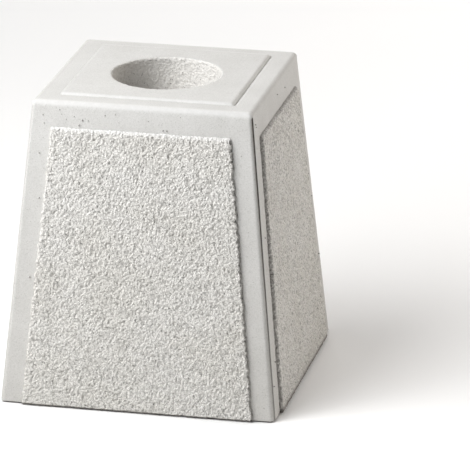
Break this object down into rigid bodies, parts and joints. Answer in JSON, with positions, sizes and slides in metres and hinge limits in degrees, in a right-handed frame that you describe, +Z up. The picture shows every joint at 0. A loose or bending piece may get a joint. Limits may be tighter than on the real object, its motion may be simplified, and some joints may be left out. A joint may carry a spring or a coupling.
{
  "type": "column base block",
  "caption": "Tapered square cast stone base block with rough raised face panels, smooth margins, a low seat on top and a round socket for a column's foot.",
  "frame": {"origin": "middle of the underside, on the ground", "axes": "+Z up along the block's axis, front face towards -Y, side faces towards -X and +X"},
  "size_m": [0.2884, 0.2884, 0.3122],
  "materials": {
    "cast_stone": "pale grey-white cast stone, smooth moulded margins and coarse hammered panels, matt"
  },
  "bodies": {
    "root": {"base_block": "cast_stone"}
  },
  "joints": []
}
